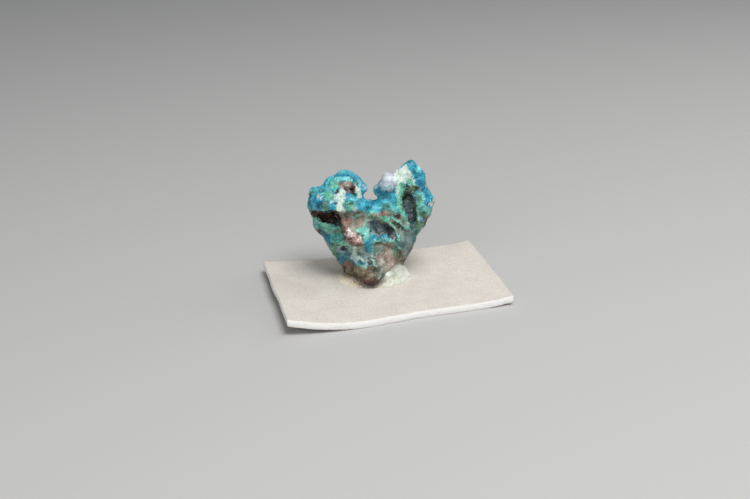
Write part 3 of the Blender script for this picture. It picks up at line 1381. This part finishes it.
@dataclass
class GlueBead:
    """The bead of glue that holds the stone's foot."""

    reach: tuple[tuple[float, float, float], ...] = (
        (0, 5.2, 8.1), (45, 3.2, 7.8), (90, 3.0, 7.6), (135, 2.4, 7.7), (180, 1.5, 8.0),
        (215, 1.6, 8.2), (240, 1.4, 8.2), (262, 1.0, 7.4), (285, 5.0, 8.0), (312, 7.8, 8.2),
        (335, 6.4, 8.1), (360, 5.2, 8.1),
    )
    milky_from: float = -0.2
    milky_to: float = 0.7
    rings: int = 40
    sides: int = 240
    ripples: Waves = ((2.2, 0.86), (1.0, 0.14))
    ripple_mm: float = 0.66
    ripple_reach_mm: float = 8.0
    feather: float = 0.75
    sunk_mm: float = 0.25

    def build(self) -> bpy.types.Object:
        """Builds the bead as a mound that the stone's foot stands in.

        Returns:
            The bead.
        """
        angles, heights, reaches = np.array(self.reach, float).T
        skin = bmesh.new()
        rings = []
        for ring in range(1, self.rings + 1):
            share = math.sin(math.pi / 2 * ring / self.rings)
            verts = []
            for side in range(self.sides):
                angle = 360 * side / self.sides
                turn = math.radians(angle)
                out = float(np.interp(angle, angles, reaches)) * share
                up = float(np.interp(angle, angles, heights)) * (1 - share**2) ** self.feather
                place = Vector((out * math.cos(turn), out * math.sin(turn), up))
                ripple = sum(noise.noise(place / size) * swing for size, swing in self.ripples)
                place *= 1 + ripple * self.ripple_mm / self.ripple_reach_mm
                verts.append(skin.verts.new(place * MM + Vector(FOOT)))
            rings.append(verts)
        low = CARD_TOP - self.sunk_mm * MM
        floor = [skin.verts.new((v.co.x, v.co.y, low)) for v in rings[-1]]
        rings.append(floor)
        crown = skin.verts.new(Vector(FOOT) + Vector((0, 0, heights[0] * MM)))
        base = skin.verts.new((FOOT[0], FOOT[1], low))
        for here in range(self.sides):
            after = (here + 1) % self.sides
            skin.faces.new((crown, rings[0][here], rings[0][after]))
            skin.faces.new((base, floor[after], floor[here]))
            for inner, outer in zip(rings, rings[1:]):
                skin.faces.new((inner[here], outer[here], outer[after], inner[after]))
        mesh = bpy.data.meshes.new("glue_bead")
        skin.to_mesh(mesh)
        skin.free()
        right = (mesh_points(mesh)[:, 0] - FOOT[0]) / (MM * max(reaches))
        add_numbers(mesh, "milky", ramp(right, self.milky_from, self.milky_to))
        bead = new_piece("clear_glue_bead", mesh)
        bead.visible_shadow = False
        mesh.shade_smooth()
        mesh.materials.append(GlueFinish().material())
        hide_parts("glue_bead")
        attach(bead, "root")
        return bead


# ---------------------------------------------------------------- the foam card


@dataclass
class FoamCard:
    """The hand-cut piece of foam sheet."""

    length_mm: float = 49.4
    width_mm: float = 32.5
    thickness_mm: float = 1.6
    turn: float = 17.7
    skew: float = 4.5
    belly_mm: tuple[float, float] = (1.0, 0.6)
    wobble_mm: float = 0.2
    wobble_waves: float = 2.4
    nick_mm: float = 0.3
    nick_size_mm: float = 2.4
    nick_depth: int = 30
    belly_middle: float = -0.45
    belly_reach: float = 0.55
    dent_mm: float = 0.05
    sag_mm: float = 0.03
    edge_rows: tuple[float, ...] = (0.12, 0.3, 0.5, 0.7, 0.88)
    bulge_mm: float = 0.12
    bulge_wander_mm: float = 0.06
    curl_mm: tuple[float, float] = (2.2, 0.6)
    curl_twist: float = 0.16
    flat: tuple[float, float] = (0.36, 0.66)
    cells: tuple[int, int] = (220, 140)
    centre: tuple[float, float] = (0.018 * MM, 0.049 * MM)

    def curl(self, along: float, over: float) -> float:
        """How high the card lifts, in millimetres, at a place from -1 to 1 along and over it."""
        left = max(0.0, (-along - self.flat[0]) / (1 - self.flat[0]))
        right = max(0.0, (along - self.flat[1]) / (1 - self.flat[1]))
        twist = 1 - self.curl_twist * (1 + over)
        return self.curl_mm[0] * left**1.7 * twist + self.curl_mm[1] * right**2

    def place(self, along: float, over: float, up_mm: float) -> Vector:
        """A place on the card.

        Args:
            along: From -1 at its left end to 1 at its right.
            over: From -1 at its front edge to 1 at its back.
            up_mm: How far above its underside.

        Returns:
            The place in the row frame.
        """
        waves = self.wobble_waves
        wobble = self.wobble_mm * noise.noise(Vector((along * waves, over * waves, 0.7)))
        reach = (along - self.belly_middle) / self.belly_reach
        belly = self.belly_mm[over > 0] * max(0.0, 1 - reach**2)
        spot = Vector((along * self.length_mm, over * self.width_mm, 9.0)) / self.nick_size_mm
        rim = max(abs(along), abs(over)) ** self.nick_depth
        nick = self.nick_mm * rim * min(0.0, noise.noise(spot) + 0.1)
        y = over * (self.width_mm / 2 + wobble + belly + nick)
        x = along * (self.length_mm / 2 + wobble + nick) + y * math.tan(math.radians(self.skew))
        flat = Matrix.Rotation(math.radians(self.turn), 2) @ Vector((x, y))
        up = self.curl(along, over) + up_mm
        return Vector((flat.x, flat.y, up)) * MM + Vector((*self.centre, 0))

    def build(self) -> bpy.types.Object:
        """Builds the card as a closed skin with soft, slightly uneven cut edges.

        Returns:
            The card.
        """
        across, deep = self.cells
        skin = bmesh.new()
        cut = skin.verts.layers.float.new("cut_edge")
        top, bottom = {}, {}
        for column in range(across + 1):
            for row in range(deep + 1):
                along, over = 2 * column / across - 1, 2 * row / deep - 1
                dent = self.dent_mm * noise.noise(Vector((along * 9, over * 6, 2.0)))
                top[column, row] = skin.verts.new(
                    self.place(along, over, self.thickness_mm + dent - self.sag_mm))
                bottom[column, row] = skin.verts.new(self.place(along, over, 0.0))
        for column in range(across):
            for row in range(deep):
                corners = ((column, row), (column + 1, row), (column + 1, row + 1),
                           (column, row + 1))
                skin.faces.new([top[key] for key in corners])
                skin.faces.new([bottom[key] for key in reversed(corners)])
        rim = [(column, 0) for column in range(across)]
        rim += [(across, row) for row in range(deep)]
        rim += [(column, deep) for column in range(across, 0, -1)]
        rim += [(0, row) for row in range(deep, 0, -1)]
        layers = self.edge_layers(skin, cut, rim, top, bottom)
        for upper, lower in zip(layers, layers[1:]):
            for here in range(len(rim)):
                after = (here + 1) % len(rim)
                skin.faces.new((upper[here], lower[here], lower[after], upper[after]))
        mesh = bpy.data.meshes.new("foam_card")
        skin.to_mesh(mesh)
        skin.free()
        card = new_piece("foam_sheet_card", mesh)
        mesh.shade_smooth()
        mesh.materials.append(FoamFinish().material())
        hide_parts("foam_card")
        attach(card, "root")
        return card

    def edge_layers(self, skin: bmesh.types.BMesh, cut: object,
                    rim: Sequence[tuple[int, int]], top: dict, bottom: dict) -> list[list]:
        """The rows of vertices down the cut edge, which bulges and wanders a little.

        Args:
            skin: The card's mesh so far.
            cut: The layer that marks the cut edge.
            rim: The keys round the card.
            top: The top's vertices.
            bottom: The underside's vertices.

        Returns:
            The rows, from the top's rim to the underside's.
        """
        across, deep = self.cells
        rows = [[top[key] for key in rim]]
        for share in self.edge_rows:
            row = []
            for key in rim:
                high, low = top[key].co, bottom[key].co
                along, over = 2 * key[0] / across - 1, 2 * key[1] / deep - 1
                out = Vector((
                    (key[0] == across) - (key[0] == 0), (key[1] == deep) - (key[1] == 0), 0.0))
                out.rotate(Matrix.Rotation(math.radians(self.turn), 3, "Z"))
                bulge = self.bulge_mm * math.sin(math.pi * share)
                wander_at = Vector((along * 20, over * 14, share * 2))
                bulge += self.bulge_wander_mm * noise.noise(wander_at)
                vertex = skin.verts.new(high.lerp(low, share) + out * bulge * MM)
                vertex[cut] = 1.0
                row.append(vertex)
            rows.append(row)
        rows.append([bottom[key] for key in rim])
        return rows


# ---------------------------------------------------------------- studio


@dataclass(frozen=True)
class Lamp:
    """A soft square light that looks at the stone."""

    name: str
    place_mm: tuple[float, float, float]
    side: float
    watts: float
    aim_mm: tuple[float, float, float] = (0.0, 0.0, 12.0)

    def build(self) -> None:
        """Adds the light."""
        data = bpy.data.lights.new(self.name, "AREA")
        data.size, data.energy = self.side, self.watts
        light = bpy.data.objects.new(self.name, data)
        light.location = Vector(self.place_mm) * MM
        aim = Vector(self.aim_mm) * MM - light.location
        light.rotation_euler = aim.to_track_quat("-Z", "Y").to_euler()
        bpy.context.scene.collection.objects.link(light)


@dataclass
class Studio:
    """The floor, the soft lights and the camera."""

    floor_colour: Colour = linear(188, 187, 185)
    floor_reach: float = 1.5
    floor_drop: float = 0.02 * MM
    sky: Colour = (0.9, 0.95, 1.0)
    sky_strength: float = 0.2
    lamps: tuple[Lamp, ...] = (
        Lamp("key", (110, -190, 460), 0.26, 2.15),
        Lamp("fill", (-170, -450, 190), 0.4, 0.75),
        Lamp("rim", (330, 120, 260), 0.3, 0.4),
    )
    camera_mm: tuple[float, float, float] = (0.444, -256.60, 112.18)
    lens_mm: float = 60.48

    def build(self) -> None:
        """Builds the floor, the lights and the camera."""
        self.floor()
        for lamp in self.lamps:
            lamp.build()
        world = bpy.data.worlds.new("studio")
        world.use_nodes = True
        sky = world.node_tree.nodes["Background"].inputs
        sky["Color"].default_value = (*self.sky, 1)
        sky["Strength"].default_value = self.sky_strength
        bpy.context.scene.world = world
        bpy.context.scene.view_settings.view_transform = "Standard"
        self.camera()

    def floor(self) -> None:
        """Builds the plain floor, a hair below the card."""
        mesh = bpy.data.meshes.new("floor")
        reach, low = self.floor_reach, -self.floor_drop
        corners = ((-reach, -reach), (reach, -reach), (reach, reach), (-reach, reach))
        mesh.from_pydata([(x, y, low) for x, y in corners], [], [(0, 1, 2, 3)])
        floor = new_piece("floor", mesh)
        ink = Shader("floor")
        ink.set(Base_Color=(*self.floor_colour, 1), Roughness=0.8)
        mesh.materials.append(ink.material)

    def camera(self) -> None:
        """Adds the camera, in front of the stone and above it."""
        data = bpy.data.cameras.new("camera")
        data.sensor_width, data.lens = 36, self.lens_mm
        data.clip_start, data.clip_end = 0.01, 10
        camera = bpy.data.objects.new("camera", data)
        camera.location = Vector(self.camera_mm) * MM + Vector(FOOT)
        camera.rotation_euler = (math.radians(90 - Sight().tilt), 0, 0)
        bpy.context.scene.collection.objects.link(camera)
        bpy.context.scene.camera = camera


def main() -> None:
    """Builds the specimen piece by piece."""
    logging.basicConfig(level=logging.INFO, format="%(message)s")
    Studio().build()
    pieces = [*Stone().build(), GlueBead().build(), FoamCard().build()]
    for piece in pieces:
        piece.data.calc_loop_triangles()
        LOG.info("%s: %d triangles", piece.name, len(piece.data.loop_triangles))


if __name__ == "__main__":
    main()
